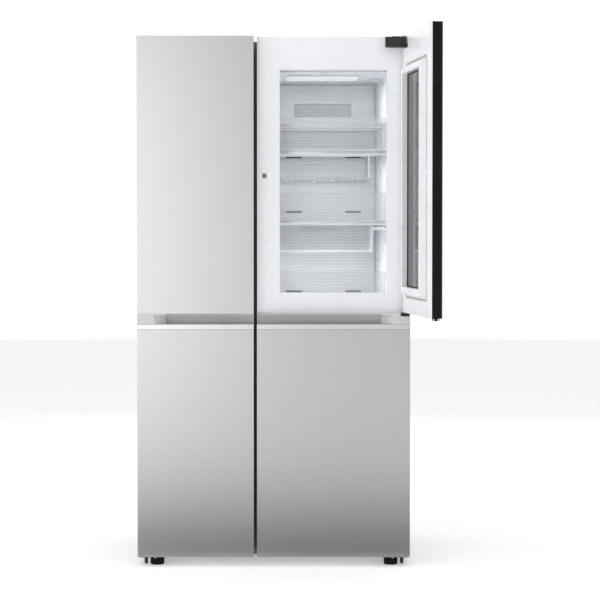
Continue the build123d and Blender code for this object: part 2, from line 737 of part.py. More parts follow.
def release_lever():
    with BuildPart() as lever:
        block((-47, -9), (-362, -346), (848, 853.5))
        fillet(lever.edges().filter_by(Axis.X).group_by(Axis.Y)[0], 2)
        with Locations(Location(LEVER_PIN, (0, 90, 0))):
            Cylinder(LEVER_PIN_R + BUSH_CLEARANCE, 60, mode=Mode.SUBTRACT)
    save_open(lever, "outer_door_release_lever")


outer_case()
back_panel()
bay_cover()
base_tray()
front_frame()
insulation()
bay_wall()
liner(FRIDGE, "fridge_liner")
liner(FREEZER, "freezer_liner")
compressor()
condenser_coil()
fan("condenser_fan", CONDENSER_FAN, (1, 0, 0), 62, 14, 12)
fan("evaporator_fan", EVAPORATOR_FAN, (0, 1, 0), 48, 12, 10)
fan_motors()
evaporator()
freezer_duct_cover()
fridge_duct_cover()
ceiling_lamps()
shelves()
bottle_rack()
drawer_rails()
for drawer_name in DRAWERS:
    drawer(drawer_name)
top_hinges()
hinge_covers()
bottom_hinges()
for side_name, side_sign in (("left", -1), ("right", 1)):
    levelling_foot(side_sign, f"levelling_foot_{side_name}")
    roller(side_sign, f"roller_{side_name}")
roller_brackets()
upper_skin()
for door, door_x, door_side, ribs in (
    ("freezer", FREEZER_DOOR_X, -1, FREEZER_RIBS),
    ("fridge", FRIDGE_DOOR_X, 1, FRIDGE_RIBS),
):
    lower_skin(door_x, door_side, f"{door}_door_lower_panel")
    handle_lip(door_x, f"{door}_door_handle_lip")
    handle_recess(door_x, door_side, f"{door}_door_handle_recess")
    door_core(door_x, door_side, f"{door}_door_foam")
    door_liner(door_x, door_side, ribs, f"{door}_door_liner")
door_gasket((-431.5, -70), "freezer_door_gasket")
door_gasket((-54, 431.5), "fridge_door_gasket")
door_bins(BIN_X["freezer"], FREEZER_BINS, "freezer_door_bins")
door_bins(BIN_X["fridge"], WINDOW_BINS, "fridge_door_window_bins")
door_bins(BIN_X["fridge_low"], LOWER_BINS, "fridge_door_lower_bins")
window_frame()
side_trim()
outer_door_hinges()
outer_door()
release_lever()
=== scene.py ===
"""Looks for a side-by-side refrigerator with a glass door-in-door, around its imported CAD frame.

Metres, +Z up, doors facing -Y, in the frame's own coordinates.
"""

import json
import math

import bmesh
import bpy
from mathutils import Matrix, Vector


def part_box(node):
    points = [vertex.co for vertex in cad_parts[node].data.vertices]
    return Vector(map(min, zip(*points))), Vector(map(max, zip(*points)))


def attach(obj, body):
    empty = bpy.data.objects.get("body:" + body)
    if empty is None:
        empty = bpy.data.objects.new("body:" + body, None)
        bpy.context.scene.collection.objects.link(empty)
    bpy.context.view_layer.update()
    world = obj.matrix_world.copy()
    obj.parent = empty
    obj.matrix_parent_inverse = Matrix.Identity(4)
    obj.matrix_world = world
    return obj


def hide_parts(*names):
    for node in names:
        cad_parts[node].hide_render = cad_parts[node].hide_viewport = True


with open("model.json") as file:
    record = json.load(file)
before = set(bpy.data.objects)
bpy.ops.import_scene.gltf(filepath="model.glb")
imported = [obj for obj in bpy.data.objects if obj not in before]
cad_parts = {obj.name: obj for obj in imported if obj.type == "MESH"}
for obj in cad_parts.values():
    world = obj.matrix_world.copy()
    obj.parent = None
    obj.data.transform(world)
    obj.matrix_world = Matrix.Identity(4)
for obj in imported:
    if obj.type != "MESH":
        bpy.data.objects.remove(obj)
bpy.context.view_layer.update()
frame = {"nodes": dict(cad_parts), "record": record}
NODES = frame["nodes"]
BEHAVIOUR = frame["record"]["behaviour"]
JOINTS = {joint["name"]: joint for joint in BEHAVIOUR["joints"]}
BODY_OF = {node: body for body, nodes in BEHAVIOUR["bodies"].items() for node in nodes}

# ---------------------------------------------------------------- camera, floor and light

CAMERA_AT = (0.088, -7.2675, 1.137)
LENS = 124.0
SENSOR_WIDTH = 36.0
TILT_DOWN = 1.995

# Name, place, point aimed at, size, watts
STUDIO_LIGHTS = (
    ("front_box", (-1.85, -3.5, 1.35), (-0.45, 0, 1.3), (2.9, 2.2), 27),
    ("top_box", (0.2, -1.2, 4.2), (0, -0.4, 0.8), (3.5, 3.0), 26),
    ("left_box", (-4.5, -1.6, 1.9), (0, -0.4, 1.0), (2.5, 2.6), 30),
    ("right_box", (4.6, -2.4, 2.0), (0.3, -0.5, 1.0), (2.2, 2.6), 7),
    ("back_box", (0.5, 4.5, 2.6), (0, 0.3, 1.0), (3.5, 2.5), 30),
)

LAMP_GAP = 0.012
GLOW_X, GLOW_Y = 0.16, -0.03
GLOW_SIZE = (0.30, 0.22)
GLOW_COLOR = (1.0, 0.99, 0.98)
LAMP_GLOW_POWER = 0.85
# Name, height, watts
LOWER_GLOWS = (("glow_upper", 1.375, 0.8), ("glow_middle", 1.14, 0.75), ("glow_lower", 1.045, 0.6))

# The world's strength, as light on the object and as the camera sees it
WORLD_LIGHT = 0.6
WORLD_SHOWN = 1.05

FLOOR_RADIUS = 14
FLOOR_TONE = 0.93
FLOOR_GLOW = 0.35
CARD_TONE = 0.1
FLAG_AT = (0, -1.025, 0.01)
FLAG_SCALE = (1.5, 1.15, 1)


def add_camera():
    """The camera in front of the doors, looking slightly down."""
    data = bpy.data.cameras.new("camera")
    data.lens = LENS
    data.sensor_width = SENSOR_WIDTH
    data.clip_end = 100.0
    camera = bpy.data.objects.new("camera", data)
    camera.location = CAMERA_AT
    camera.rotation_euler = (math.radians(90 - TILT_DOWN), 0, 0)
    bpy.context.collection.objects.link(camera)
    bpy.context.scene.camera = camera


def area_light(name, at, aim, size, power, color=(1, 1, 1)):
    """A rectangular light, aimed at a point and hidden from the camera."""
    data = bpy.data.lights.new(name, "AREA")
    data.shape = "RECTANGLE"
    data.size, data.size_y = size
    data.energy = power
    data.color = color
    light = bpy.data.objects.new(name, data)
    light.location = at
    light.rotation_euler = (Vector(aim) - Vector(at)).to_track_quat("-Z", "Y").to_euler()
    light.visible_camera = False
    bpy.context.collection.objects.link(light)
    return light


def add_lights():
    """The studio's soft boxes."""
    for name, at, aim, size, power in STUDIO_LIGHTS:
        area_light(name, at, aim, size, power)


def add_inner_lights():
    """The lit inside of the fresh food side, from its ceiling lamp and down its height."""
    lamp_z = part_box("ceiling_lamps")[0].z - LAMP_GAP
    for name, z, power in (("lamp_glow", lamp_z, LAMP_GLOW_POWER), *LOWER_GLOWS):
        glow = area_light(name, (GLOW_X, GLOW_Y, z), (GLOW_X, GLOW_Y, 0), GLOW_SIZE, power,
                          GLOW_COLOR)
        glow.visible_glossy = False


def add_world():
    """White all round, shown at full white and lighting at a studio's level."""
    world = bpy.data.worlds.new("studio")
    world.use_nodes = True
    nodes, links = world.node_tree.nodes, world.node_tree.links
    path = nodes.new("ShaderNodeLightPath")
    level = nodes.new("ShaderNodeMapRange")
    level.inputs["To Min"].default_value = WORLD_LIGHT
    level.inputs["To Max"].default_value = WORLD_SHOWN
    links.new(path.outputs["Is Camera Ray"], level.inputs["Value"])
    background = nodes["Background"]
    background.inputs["Color"].default_value = (1, 1, 1, 1)
    links.new(level.outputs["Result"], background.inputs["Strength"])
    bpy.context.scene.world = world
    bpy.context.scene.view_settings.view_transform = "Standard"


# ---------------------------------------------------------------- materials


def material(name):
    """A new node material, with its nodes and its links."""
    made = bpy.data.materials.new(name)
    made.use_nodes = True
    return made, made.node_tree.nodes, made.node_tree.links


def place_texture(nodes, links, kind, scale, squeeze=(1, 1, 1), **inputs):
    """A procedural texture in object space, stretched along chosen axes."""
    where = nodes.new("ShaderNodeTexCoord")
    mapping = nodes.new("ShaderNodeMapping")
    mapping.inputs["Scale"].default_value = squeeze
    texture = nodes.new(kind)
    texture.inputs["Scale"].default_value = scale
    for key, value in inputs.items():
        texture.inputs[key].default_value = value
    links.new(where.outputs["Object"], mapping.inputs["Vector"])
    links.new(mapping.outputs["Vector"], texture.inputs["Vector"])
    return texture


def ramp(nodes, links, source, low, high, start=0.3, end=0.7):
    """A value or colour that runs between two ends with a texture."""
    stage = nodes.new("ShaderNodeValToRGB")
    first, last = stage.color_ramp.elements
    first.position, last.position = start, end
    first.color = (*low, 1) if isinstance(low, tuple) else (low, low, low, 1)
    last.color = (*high, 1) if isinstance(high, tuple) else (high, high, high, 1)
    links.new(source, stage.inputs["Fac"])
    return stage.outputs["Color"]


def bump(nodes, links, source, shader, strength, distance):
    """Fine relief from a texture."""
    node = nodes.new("ShaderNodeBump")
    node.inputs["Strength"].default_value = strength
    node.inputs["Distance"].default_value = distance
    links.new(source, node.inputs["Height"])
    links.new(node.outputs["Normal"], shader.inputs["Normal"])


def brushed(name, low, high, rough, grain=(4, 4, 900), strength=0.06):
    """Metal with fine lines along X and slow tone changes."""
    made, nodes, links = material(name)
    shader = nodes["Principled BSDF"]
    shader.inputs["Metallic"].default_value = 1.0
    lines = place_texture(nodes, links, "ShaderNodeTexNoise", 1.0, grain, Detail=6.0, Roughness=0.7)
    links.new(ramp(nodes, links, lines.outputs["Fac"], low, high), shader.inputs["Base Color"])
    links.new(ramp(nodes, links, lines.outputs["Fac"], rough - 0.05, rough + 0.06),
              shader.inputs["Roughness"])
    bump(nodes, links, lines.outputs["Fac"], shader, strength, 0.0004)
    return made


def plastic(name, low, high, rough, texture_scale=600.0, strength=0.05, coat=0.0, shine=0.5,
            spread=0.04):
    """Moulded plastic: faint mottling, a fine surface and slightly uneven gloss."""
    made, nodes, links = material(name)
    shader = nodes["Principled BSDF"]
    shader.inputs["Coat Weight"].default_value = coat
    shader.inputs["Specular IOR Level"].default_value = shine
    mottle = place_texture(nodes, links, "ShaderNodeTexNoise", 9.0, Detail=3.0)
    grain = place_texture(nodes, links, "ShaderNodeTexNoise", texture_scale, Detail=2.0)
    links.new(ramp(nodes, links, mottle.outputs["Fac"], low, high), shader.inputs["Base Color"])
    links.new(ramp(nodes, links, mottle.outputs["Fac"], rough - spread, rough + spread),
              shader.inputs["Roughness"])
    bump(nodes, links, grain.outputs["Fac"], shader, strength, 0.0003)
    return made


def clear(name, tint, rough, alpha_low, alpha_high, shine=0.7):
    """Thin clear plastic or glass, seen through by its alpha, with faint waves in its gloss."""
    made, nodes, links = material(name)
    shader = nodes["Principled BSDF"]
    shader.inputs["IOR"].default_value = 1.49
    shader.inputs["Specular IOR Level"].default_value = shine
    waves = place_texture(nodes, links, "ShaderNodeTexNoise", 14.0, Detail=2.0)
    shader.inputs["Base Color"].default_value = (*tint, 1)
    links.new(ramp(nodes, links, waves.outputs["Fac"], rough, rough + 0.05),
              shader.inputs["Roughness"])
    facing = nodes.new("ShaderNodeLayerWeight")
    facing.inputs["Blend"].default_value = 0.35
    links.new(ramp(nodes, links, facing.outputs["Facing"], alpha_low, alpha_high, 0.1, 0.95),
              shader.inputs["Alpha"])
    bump(nodes, links, waves.outputs["Fac"], shader, 0.04, 0.0008)
    made.surface_render_method = "BLENDED"
    return made


def foam_material():
    """Rigid foam with its cells showing."""
    made, nodes, links = material("rigid_foam")
    shader = nodes["Principled BSDF"]
    cells = place_texture(nodes, links, "ShaderNodeTexVoronoi", 420.0)
    tone = ramp(nodes, links, cells.outputs["Distance"], (0.66, 0.55, 0.3), (0.85, 0.76, 0.5))
    links.new(tone, shader.inputs["Base Color"])
    shader.inputs["Roughness"].default_value = 0.9
    bump(nodes, links, cells.outputs["Distance"], shader, 0.4, 0.001)
    return made


def lamp_material():
    """An opal lens that glows a little, with a fine prism pattern."""
    made, nodes, links = material("lamp_lens")
    shader = nodes["Principled BSDF"]
    prism = place_texture(nodes, links, "ShaderNodeTexWave", 90.0)
    tone = ramp(nodes, links, prism.outputs["Fac"], (0.86, 0.88, 0.9), (0.98, 0.99, 1.0))
    links.new(tone, shader.inputs["Base Color"])
    links.new(tone, shader.inputs["Emission Color"])
    shader.inputs["Emission Strength"].default_value = 0.12
    shader.inputs["Roughness"].default_value = 0.35
    return made


def make_materials():
    """Every material, by the slot that it fills."""
    return {
        "steel_panel": brushed("brushed_steel", 0.555, 0.605, 0.34, strength=0.035),
        "aluminium": brushed("satin_aluminium", 0.66, 0.76, 0.32, (30, 30, 700), 0.03),
        "hinge_steel": brushed("zinc_plate", 0.62, 0.74, 0.28, (60, 60, 60), 0.04),
        "copper": brushed("copper_tube", (0.62, 0.3, 0.18), (0.75, 0.42, 0.28), 0.3,
                          (90, 90, 90)),
        "galvanised_steel": brushed("galvanised_sheet", 0.4, 0.62, 0.45, (25, 25, 25), 0.02),
        "case_paint": plastic("grey_enamel", (0.212, 0.216, 0.221), (0.219, 0.223, 0.228), 0.42,
                              900, 0.08, spread=0.015),
        "black_steel": plastic("black_powder_coat", (0.012,) * 3, (0.02,) * 3, 0.5, 1400, 0.2),
        "black_plastic": plastic("black_plastic", (0.007,) * 3, (0.01,) * 3, 0.45,
                                 1100, 0.06, 0, 0.1),
        "white_plastic": plastic("white_moulded", (0.865, 0.88, 0.905), (0.88, 0.893, 0.917), 0.28,
                                 220, 0.006, 0.05, 0.45, 0.012),
        "duct_plastic": plastic("grey_duct_plastic", (0.66, 0.67, 0.69), (0.72, 0.73, 0.75), 0.42),
        "handle_plastic": plastic("silver_satin_plastic", (0.56,) * 3, (0.6,) * 3, 0.4,
                                  900, 0.03, 0, 0.3),
        "gasket_rubber": plastic("gasket_rubber", (0.42, 0.42, 0.4), (0.5, 0.5, 0.48), 0.6,
                                 700, 0.1),
        "shelf_glass": clear("shelf_glass", (0.86, 0.93, 0.93), 0.03, 0.1, 0.6, 0.4),
        "clear_plastic": clear("clear_plastic", (0.9, 0.93, 0.96), 0.06, 0.08, 0.65, 0.4),
        "dark_glass": clear("tinted_glass", (0.012, 0.012, 0.014), 0.04, 0.95, 1.0, 0.3),
        "door_glass": clear("black_door_glass", (0.01, 0.01, 0.011), 0.03, 1.0, 1.0, 0.75),
        "foam": foam_material(),
        "lamp_lens": lamp_material(),
    }


MATERIALS = make_materials()


def coat(thing, slot):
    """Gives a piece its material, in every slot that it has."""
    mesh = thing.data
    if mesh.materials:
        for index in range(len(mesh.materials)):
            thing.material_slots[index].material = MATERIALS[slot]
    else:
        mesh.materials.append(MATERIALS[slot])


def soften(thing, width, segments=3, angle=35):
    """Rounds a piece's sharp edges."""
    bevel = thing.modifiers.new("rounded_edges", "BEVEL")
    bevel.width = width
    bevel.segments = segments
    bevel.limit_method = "ANGLE"
    bevel.angle_limit = math.radians(angle)
    bevel.harden_normals = True
    bevel.use_clamp_overlap = True


# ---------------------------------------------------------------- meshes


SHARP_ANGLE = 38


def piece(name, mesh, body, slot):
    """Wraps a bmesh as an object that rides on a body."""
    bmesh.ops.remove_doubles(mesh, verts=mesh.verts, dist=1e-6)
    bmesh.ops.recalc_face_normals(mesh, faces=mesh.faces)
    data = bpy.data.meshes.new(name)
    mesh.to_mesh(data)
    mesh.free()
    thing = bpy.data.objects.new(name, data)
    bpy.context.collection.objects.link(thing)
    data.materials.append(MATERIALS[slot])
    data.shade_smooth()
    data.set_sharp_from_angle(angle=math.radians(SHARP_ANGLE))
    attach(thing, body)
    return thing


def add_box(mesh, low, high, radius=0.0, segments=2):
    """A box between two corners, with its edges rounded where asked."""
    made = bmesh.ops.create_cube(mesh, size=1.0)["verts"]
    size = Vector(high) - Vector(low)
    middle = (Vector(high) + Vector(low)) / 2
    bmesh.ops.scale(mesh, vec=size, verts=made)
    bmesh.ops.translate(mesh, vec=middle, verts=made)
    if radius:
        edges = list({edge for vert in made for edge in vert.link_edges})
        reach = min(radius, min(size) * 0.45)
        bmesh.ops.bevel(mesh, geom=edges, offset=reach, segments=segments, profile=0.5,
                        affect="EDGES")


def rounded_loop(low, high, radii, steps=6):
    """The outline of a rectangle with a radius at each corner, starting at its low corner."""
    x0, y0, x1, y1 = *low, *high
    corners = ((x0, y0, 180), (x1, y0, 270), (x1, y1, 0), (x0, y1, 90))
    points = []
    for (x, y, start), radius in zip(corners, radii):
        inward_x = x + radius * (1 if x == x0 else -1)
        inward_y = y + radius * (1 if y == y0 else -1)
        for step in range(steps + 1):
            turn = math.radians(start + 90 * step / steps)
            points.append((inward_x + radius * math.cos(turn), inward_y + radius * math.sin(turn)))
    return points


def bridge(mesh, loops, close_first=False, close_last=False):
    """Skins a row of equal loops, and caps its ends where asked."""
    rows = [[mesh.verts.new(point) for point in loop] for loop in loops]
    count = len(rows[0])
    for first, second in zip(rows, rows[1:]):
        for index in range(count):
            after = (index + 1) % count
            mesh.faces.new((first[index], first[after], second[after], second[index]))
    if close_first:
        mesh.faces.new(list(reversed(rows[0])))
    if close_last:
        mesh.faces.new(rows[-1])


TRAY_DRAFT = 0.004
TRAY_LIP = 0.003
TRAY_HEEL, TRAY_HEEL_STEP = 0.006, 0.002


def add_tray(mesh, low, high, wall, front_radius, back_radius):
    """An open tray with round corners, walls that lean in to the floor and a rolled lip."""
    x0, y0, z0 = low
    x1, y1, z1 = high
    radii = (front_radius, front_radius, back_radius, back_radius)

    def level(z, inward):
        outline = rounded_loop((x0 + inward, y0 + inward), (x1 - inward, y1 - inward),
                               [max(radius - inward, 0.001) for radius in radii])
        return [(x, y, z) for x, y in outline]

    floor_z, lip_z = z0 + wall, z1 - TRAY_LIP
    profile = [(z0, TRAY_DRAFT + TRAY_HEEL), (z0 + TRAY_HEEL_STEP, TRAY_DRAFT + TRAY_HEEL_STEP),
               (z0 + TRAY_HEEL, TRAY_DRAFT), (lip_z, TRAY_LIP), (lip_z, 0), (z1, 0),
               (z1, TRAY_LIP + wall), (lip_z, TRAY_LIP + wall),
               (floor_z + TRAY_HEEL, TRAY_DRAFT + wall), (floor_z, TRAY_DRAFT + wall + TRAY_HEEL)]
    bridge(mesh, [level(z, inward) for z, inward in profile], True, True)


def ring_profile(mesh, low, high, radius, profile, face_y, out):
    """A profile carried round a rectangle in the XZ plane: (inward, height) pairs."""
    loops = []
    for inward, height in profile:
        outline = rounded_loop((low[0] + inward, low[1] + inward),
                               (high[0] - inward, high[1] - inward),
                               [max(radius - inward, 0.002)] * 4)
        loops.append([(x, face_y + out * height, z) for x, z in outline])
    loops.append(loops[0])
    bridge(mesh, loops)


def turned(mesh, centre, axis, profile, segments=32):
    """A closed solid of revolution: (radius, height) pairs from one end to the other."""
    turn = Vector((0, 0, 1)).rotation_difference(Vector(axis)).to_matrix().to_4x4()
    place = Matrix.Translation(centre) @ turn
    loops = []
    for radius, height in profile:
        loops.append([place @ Vector((radius * math.cos(2 * math.pi * i / segments),
                                      radius * math.sin(2 * math.pi * i / segments), height))
                      for i in range(segments)])
    bridge(mesh, loops, True, True)


def screw_head(mesh, centre, axis, radius):
    """A domed head with a round well in its middle."""
    turned(mesh, centre, axis, [(radius, 0), (radius, radius * 0.25), (radius * 0.8, radius * 0.5),
                                (radius * 0.35, radius * 0.6), (radius * 0.3, radius * 0.3)], 20)


# ---------------------------------------------------------------- CAD nodes that stay

EDGE_WIDTHS = {
    "freezer_door_upper_panel": 0.003, "freezer_door_lower_panel": 0.003,
    "fridge_door_lower_panel": 0.003, "fridge_door_window_frame": 0.002,
    "outer_door_frame": 0.002, "outer_door_glass": 0.0012, "outer_door_liner": 0.003,
    "outer_case": 0.0006, "hinge_covers": 0.004, "freezer_door_handle_lip": 0.0008,
    "fridge_door_handle_lip": 0.0008, "freezer_door_handle_recess": 0.003,
    "fridge_door_handle_recess": 0.003, "levelling_foot_left": 0.0015,
    "levelling_foot_right": 0.0015, "shelf_rims": 0.0015, "top_hinges": 0.001,
    "bottom_hinges": 0.001, "outer_door_hinges": 0.002, "freezer_door_liner": 0.003,
    "fridge_door_liner": 0.003, "outer_door_release_lever": 0.001,
}


def dress_cad():
    """Every CAD node's material, by its slot, and the outer door's front in mirror-black glass."""
    slots = {part["node"]: part["material_slot"] for part in frame["record"]["subparts"]}
    slots["outer_door_glass"] = "door_glass"
    for name, thing in NODES.items():
        coat(thing, slots[name])
        if name in EDGE_WIDTHS:
            soften(thing, EDGE_WIDTHS[name])


# ---------------------------------------------------------------- detailed pieces


BIN_WALL = 0.0028
BIN_FRONT_RADIUS, BIN_BACK_RADIUS = 0.006, 0.026


def add_bins(name, node):
    """Bins with round corners and rolled lips in place of a node's plain ones."""
    mesh = bmesh.new()
    for low, high in solid_boxes(node):
        add_tray(mesh, low, high, BIN_WALL, BIN_FRONT_RADIUS, BIN_BACK_RADIUS)
    made = piece(name, mesh, BODY_OF[node], "clear_plastic")
    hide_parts(node)


def solid_boxes(node):
    """The box of each separate solid in a CAD node, from the lowest up."""
    mesh = bmesh.new()
    mesh.from_mesh(NODES[node].data)
    bmesh.ops.remove_doubles(mesh, verts=mesh.verts, dist=1e-6)
    left, boxes = set(mesh.verts), []
    while left:
        island, edge = set(), [left.pop()]
        while edge:
            vert = edge.pop()
            island.add(vert)
            for link in vert.link_edges:
                other = link.other_vert(vert)
                if other in left:
                    left.discard(other)
                    edge.append(other)
        points = [vert.co.copy() for vert in island]
        low = tuple(min(point[axis] for point in points) for axis in range(3))
        high = tuple(max(point[axis] for point in points) for axis in range(3))
        boxes.append((low, high))
    mesh.free()
    return sorted(boxes, key=lambda pair: pair[0][2])


GASKET_WIDTH = 0.012
GASKET_CORNER = 0.012


def add_gasket(door):
    """A bellows seal with a flat magnetic face, carried round a door."""
    node = door + "_gasket"
    low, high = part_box(node)
    w, h = GASKET_WIDTH, high.y - low.y
    profile = [(0, 0), (0, h * 0.25), (w * 0.1, h * 0.4), (w * 0.02, h * 0.55), (w * 0.05, h * 0.9),
               (w * 0.12, h), (w * 0.8, h), (w * 0.9, h * 0.9), (w * 0.86, h * 0.6),
               (w * 0.96, h * 0.45), (w * 0.86, h * 0.3), (w, h * 0.15), (w, 0)]
    mesh = bmesh.new()
    ring_profile(mesh, (low.x, low.z), (high.x, high.z), GASKET_CORNER, profile, low.y, 1)
    made = piece(door + "_bellows_seal", mesh, door, "gasket_rubber")
    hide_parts(node)


def outer_door_place():
    """The turn that carries a piece made for the shut outer door to where it is stored, open."""
    hinge = JOINTS["outer_door_hinge"]
    pivot = Vector(hinge["pos_m"])
    open_angle = -math.radians(hinge["range_deg"][0])
    turn = Matrix.Rotation(open_angle, 4, "Z")
    return Matrix.Translation(pivot) @ turn @ Matrix.Translation(-pivot)


DRAWER_WALL = 0.003
DRAWER_FRONT_RADIUS, DRAWER_BACK_RADIUS = 0.028, 0.008
FLANGE = 0.006
FLANGE_CLEAR = 0.0005
FLANGE_SETBACK, FLANGE_THICK, FLANGE_OVERLAP = 0.04, 0.003, 0.001
GRIP_HALF = 0.075
# From the drawer's front and down from its top: where the grip begins and ends
GRIP_Y = (0.001, 0.016)
GRIP_DROP = (0.02, 0.002)


def add_drawer(name, node):
    """A clear drawer with round front corners, a finger grip and side flanges that run on its
    rails.
    """
    low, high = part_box(node)
    x0, x1, y0, y1, z1 = low.x + FLANGE, high.x - FLANGE, low.y, high.y, high.z
    mesh = bmesh.new()
    add_tray(mesh, (x0, y0, low.z), (x1, y1, z1), DRAWER_WALL, DRAWER_FRONT_RADIUS,
             DRAWER_BACK_RADIUS)
    for from_x, to_x in ((x0 - FLANGE + FLANGE_CLEAR, x0 + FLANGE_OVERLAP),
                         (x1 - FLANGE_OVERLAP, x1 + FLANGE - FLANGE_CLEAR)):
        add_box(mesh, (from_x, y0 + FLANGE_SETBACK, z1 - FLANGE_THICK), (to_x, y1, z1), 0.0008)
    middle = (x0 + x1) / 2
    add_box(mesh, (middle - GRIP_HALF, y0 + GRIP_Y[0], z1 - GRIP_DROP[0]),
            (middle + GRIP_HALF, y0 + GRIP_Y[1], z1 - GRIP_DROP[1]), 0.005, 3)
    made = piece(name, mesh, BODY_OF[node], "clear_plastic")
    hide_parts(node)


# The inner door's window in X and Z, and what lines up with it on the outer door when that is shut
WINDOW_LOW, WINDOW_HIGH = (0.020, 0.919), (0.380, 1.667)
OUTER_INNER_FACE = -0.3295
SEAL_REACH = 0.014
SEAL_CORNER = 0.016
PLUG_GAP = 0.004
PANE_BORDER = 0.020
PANE_CORNER = 0.006
PANE_PROUD = 0.0015


def carried(mesh):
    """Swings a mesh made for the shut outer door to its stored place."""
    mesh.transform(outer_door_place())
    return mesh


def add_outer_door_details():
    """The outer door's ribbed seal round the window, and the border of its inner pane."""
    mesh = bmesh.new()
    low = (WINDOW_LOW[0] - SEAL_REACH, WINDOW_LOW[1] - SEAL_REACH)
    high = (WINDOW_HIGH[0] + SEAL_REACH, WINDOW_HIGH[1] + SEAL_REACH)
    profile = [(0, 0), (0.0004, 0.0012), (0.002, 0.0016), (0.004, 0.0011), (0.006, 0.0016),
               (0.0076, 0.0012), (0.008, 0)]
    ring_profile(mesh, low, high, SEAL_CORNER, profile, OUTER_INNER_FACE, 1)
    made = piece("outer_door_seal", carried(mesh), "outer_door", "gasket_rubber")
    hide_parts("outer_door_gasket")
    inset = PLUG_GAP + PANE_BORDER
    pane_low = (WINDOW_LOW[0] + inset, WINDOW_LOW[1] + inset)
    pane_high = (WINDOW_HIGH[0] - inset, WINDOW_HIGH[1] - inset)
    mesh = bmesh.new()
    border = [(0, 0), (0, 0.0016), (0.0006, 0.002), (0.0034, 0.002), (0.004, 0.0012), (0.004, 0)]
    ring_profile(mesh, pane_low, pane_high, PANE_CORNER, border, OUTER_INNER_FACE + PANE_PROUD, 1)
    piece("outer_door_pane_seal", carried(mesh), "outer_door", "black_plastic")


COVER_MARGIN_X, COVER_MARGIN_Z = 0.006, 0.012
OUTLET_MARGIN = 0.004
RIDGE_HALF = 0.28
RIDGE_REACH = 0.6
SLAT_HALF = 0.22


def add_ribbed_back(name, node, body, pitch, proud, clear_of):
    """Fine horizontal ridges over a duct cover, left out where its outlets are."""
    low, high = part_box(node)
    mesh = bmesh.new()
    z = low.z + COVER_MARGIN_Z
    while z < high.z - COVER_MARGIN_Z:
        spans = [(low.x + COVER_MARGIN_X, high.x - COVER_MARGIN_X)]
        for x0, x1, z0, z1 in clear_of:
            if z0 - pitch * RIDGE_REACH < z < z1 + pitch * RIDGE_REACH:
                cut = []
                for a, b in spans:
                    if a < x0 - 2 * OUTLET_MARGIN:
                        cut.append((a, min(b, x0 - OUTLET_MARGIN)))
                    if b > x1 + 2 * OUTLET_MARGIN:
                        cut.append((max(a, x1 + OUTLET_MARGIN), b))
                spans = cut
        for a, b in spans:
            add_box(mesh, (a, low.y - proud, z - pitch * RIDGE_HALF),
                    (b, low.y + 0.0005, z + pitch * RIDGE_HALF), 0.0008, 1)
        z += pitch
    piece(name, mesh, body, "duct_plastic")


def add_louvres(name, body, slot, outlets, y0, y1, count):
    """Slats across air outlets."""
    mesh = bmesh.new()
    for x0, x1, z0, z1 in outlets:
        step = (z1 - z0) / count
        for row in range(count):
            z = z0 + step * (row + 0.5)
            add_box(mesh, (x0, y0, z - step * SLAT_HALF), (x1, y1, z + step * SLAT_HALF), 0.0006, 1)
    piece(name, mesh, body, slot)


# The covers' air openings: X from and to, Z from and to
FRIDGE_OUTLETS = [(0.067, 0.275, 1.540, 1.588)]
FRIDGE_VENTS = [(x0, x1, z, z + 0.011) for z in (1.390, 1.190, 0.900)
                for x0, x1 in ((0.036, 0.095), (0.253, 0.311))]
FREEZER_OUTLETS = [(x - 0.022, x + 0.022, z, z + 0.010) for z in (1.545, 1.230, 0.915, 0.640)
                   for x in (-0.330, -0.270, -0.210, -0.150)]


def add_duct_details():
    """Ridges and slats on both duct covers."""
    low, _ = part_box("fridge_duct_cover")
    add_ribbed_back("fridge_back_ridges", "fridge_duct_cover", "cabinet", 0.011, 0.0009,
                    FRIDGE_OUTLETS + FRIDGE_VENTS)
    add_louvres("fridge_outlet_slats", "cabinet", "duct_plastic", FRIDGE_OUTLETS,
                low.y + 0.0005, low.y + 0.006, 6)
    add_louvres("fridge_vent_slats", "cabinet", "black_plastic", FRIDGE_VENTS,
                low.y + 0.004, low.y + 0.0068, 1)
    add_ribbed_back("freezer_back_ridges", "freezer_duct_cover", "cabinet", 0.014, 0.0016,
                    FREEZER_OUTLETS)


BEZEL_WIDTH = 0.005


def add_lamp_frames():
    """A raised frame round each ceiling lamp."""
    mesh = bmesh.new()
    for (x0, y0, z), (x1, y1, _) in solid_boxes("ceiling_lamps"):
        out_x0, out_y0, out_x1, out_y1 = (x0 - BEZEL_WIDTH, y0 - BEZEL_WIDTH,
                                          x1 + BEZEL_WIDTH, y1 + BEZEL_WIDTH)
        for a, b in (((out_x0, out_y0), (out_x1, y0)), ((out_x0, y1), (out_x1, out_y1)),
                     ((out_x0, y0), (x0, y1)), ((x1, y0), (out_x1, y1))):
            add_box(mesh, (*a, z - 0.0015), (*b, z + 0.004), 0.0012)
    piece("lamp_bezels", mesh, "cabinet", "white_plastic")


TRIM_END = 0.004
TRIM_PROUD, TRIM_SUNK = 0.0012, 0.0006
# Down from the shelf rim's top to the strip's lower and upper edge
TRIM_DROP = (0.014, 0.003)


def add_shelf_trims():
    """Satin metal strips let into the front edge of each shelf."""
    mesh = bmesh.new()
    for low, high in solid_boxes("shelf_rims"):
        add_box(mesh, (low[0] + TRIM_END, low[1] - TRIM_PROUD, high[2] - TRIM_DROP[0]),
                (high[0] - TRIM_END, low[1] + TRIM_SUNK, high[2] - TRIM_DROP[1]), 0.0005)
    piece("shelf_front_trims", mesh, "cabinet", "aluminium")


